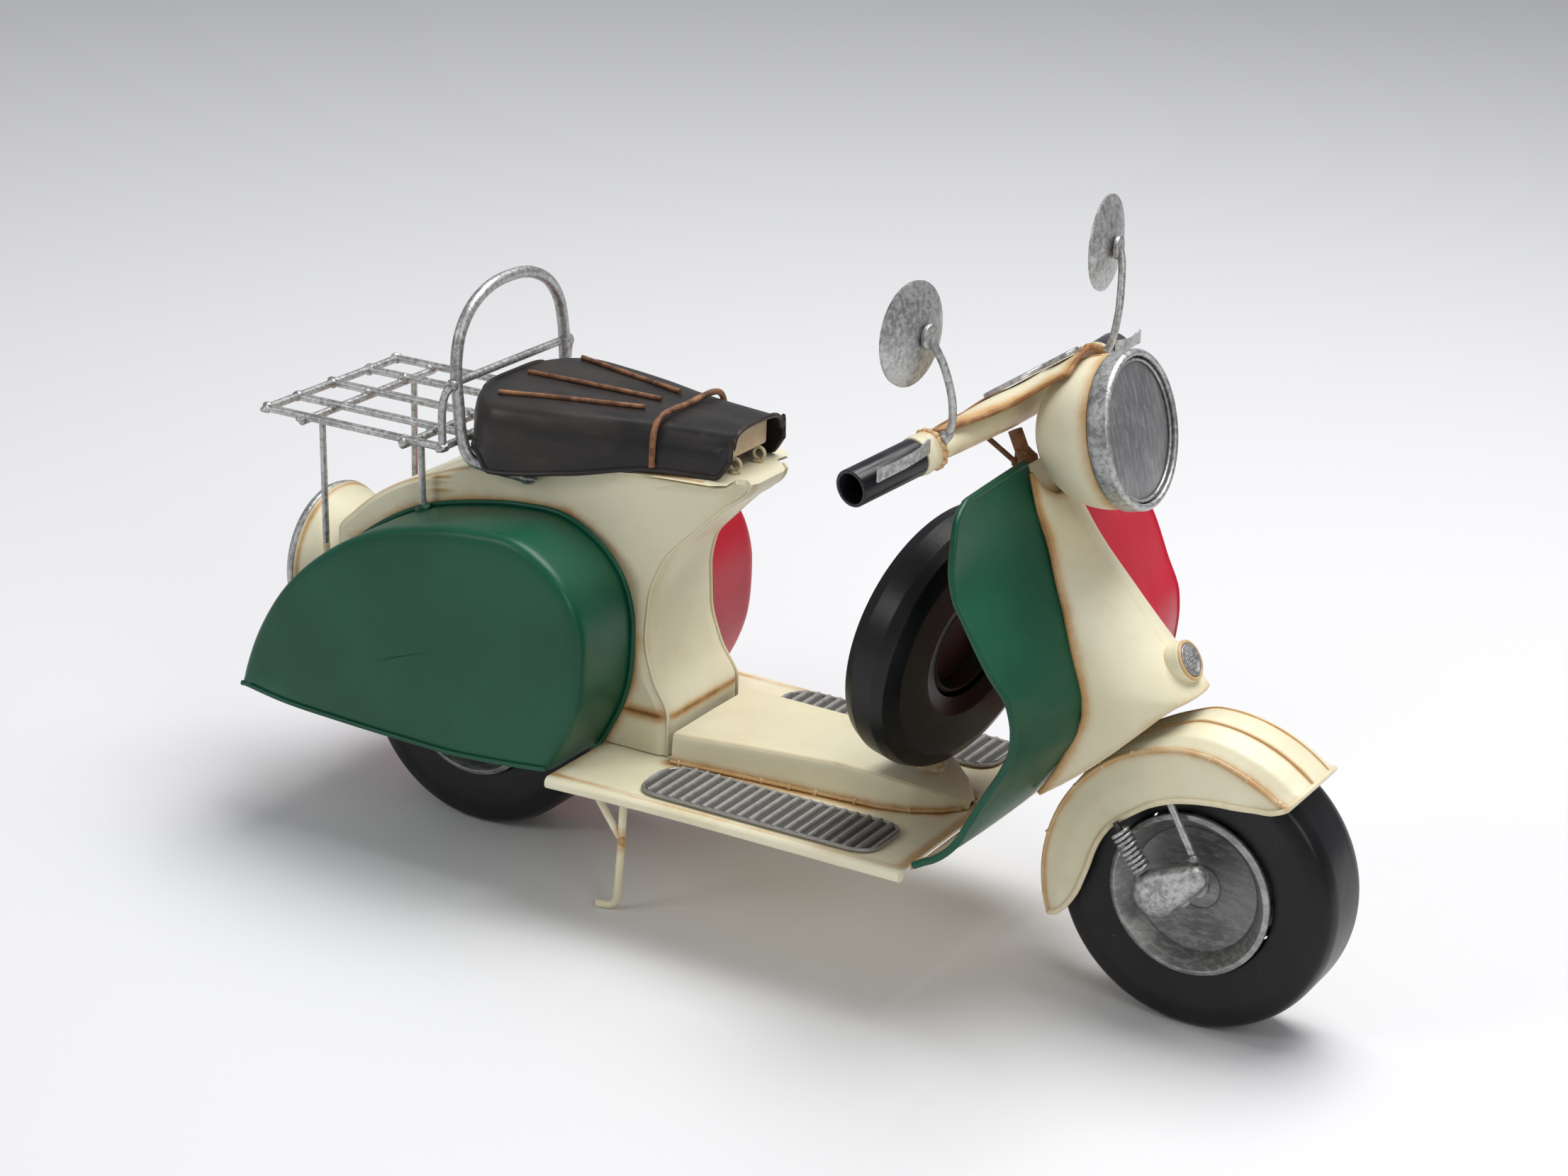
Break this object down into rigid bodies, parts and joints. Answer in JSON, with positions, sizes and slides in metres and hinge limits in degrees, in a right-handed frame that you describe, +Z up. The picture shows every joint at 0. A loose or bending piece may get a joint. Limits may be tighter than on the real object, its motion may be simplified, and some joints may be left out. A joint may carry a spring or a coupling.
{
  "type": "scooter display model",
  "caption": "Hand-made tin scooter model with turning wheels, steering head, forward-tipping seat, spare wheel, luggage rack and wire stand.",
  "frame": {"origin": "on the ground plane, at the middle of the model's length, in its centre plane", "axes": "+X towards the front wheel, +Y to the rider's left, +Z up"},
  "size_m": [0.5357, 0.2474, 0.3305],
  "materials": {
    "cream": "aged cream enamel with orange-brown rust washes along the seams",
    "green": "satin dark green enamel, a little lighter on the wire beads",
    "red": "satin crimson enamel",
    "tyre": "semi-gloss black paint over formed tin, with fine scuffs",
    "silver": "antique silver brushed over black, worn bright on the edges",
    "seat": "satin black-brown paint with brown streaks and rust-brown ribs",
    "mat": "ribbed sheet, antique silver over dark grey",
    "rust": "matte rust-brown wire and braze",
    "grip": "glossy black paint",
    "lens": "scratched grey metallic disc"
  },
  "bodies": {
    "chassis": {"rear_axle": "silver", "rear_body": "cream", "tail_housing": "cream", "tail_lamp": "silver", "cowl_right": "green", "cowl_left": "red", "floorboard": "cream", "tunnel": "cream", "floor_mat_left": "mat", "floor_mat_right": "mat", "stand": "cream", "leg_shield_right": "green", "leg_shield_left": "red", "leg_shield_panel": "cream", "front_cover": "cream", "horn_cup": "cream", "horn_grille": "silver", "spare_tyre": "tyre", "spare_rim": "tyre", "luggage_rack": "silver", "rack_post_rear_right": "silver", "rack_post_rear_left": "silver", "rack_post_front_right": "silver", "rack_post_front_left": "silver", "grab_loop": "silver", "grab_loop_crossbar": "silver"},
    "rear_wheel": {"rear_tyre": "tyre", "rear_wheel_disc_right": "silver", "rear_wheel_disc_left": "silver"},
    "seat": {"seat": "seat", "seat_strap": "rust", "seat_hinge_plate": "cream", "seat_hinge_eye_right": "cream", "seat_hinge_eye_left": "cream"},
    "steering": {"headlamp_bowl": "cream", "headlamp_bezel": "silver", "headlamp_lens": "lens", "handlebar": "cream", "grip_left": "grip", "grip_right": "grip", "brake_lever_left": "silver", "brake_lever_right": "silver", "headset_cover": "cream", "gauge_large": "silver", "gauge_small": "silver", "steering_column": "rust", "mirror_left": "silver", "mirror_right": "silver", "mirror_stem_left": "silver", "mirror_stem_right": "silver", "front_fender": "cream", "suspension_link_right": "silver", "suspension_spring_right": "silver", "suspension_strut_right": "silver", "front_axle": "silver"},
    "front_wheel": {"front_tyre": "tyre", "front_wheel_disc_right": "silver", "front_wheel_disc_left": "silver"}
  },
  "joints": [
    {"name": "rear_wheel_spin", "type": "hinge", "parent": "chassis", "child": "rear_wheel", "pos_m": [-0.1709, 0, 0.064], "axis": [0, 1, 0], "continuous": true},
    {"name": "steering_turn", "type": "hinge", "parent": "chassis", "child": "steering", "pos_m": [0.0991, 0, 0.247], "axis": [-0.4226, 0, 0.9063], "range_deg": [-10, 10]},
    {"name": "front_wheel_spin", "type": "hinge", "parent": "steering", "child": "front_wheel", "pos_m": [0.2039, 0, 0.064], "axis": [0, 1, 0], "continuous": true},
    {"name": "seat_hinge", "type": "hinge", "parent": "chassis", "child": "seat", "pos_m": [-0.0329, 0, 0.2076], "axis": [0, 1, 0], "range_deg": [0, 75]}
  ]
}
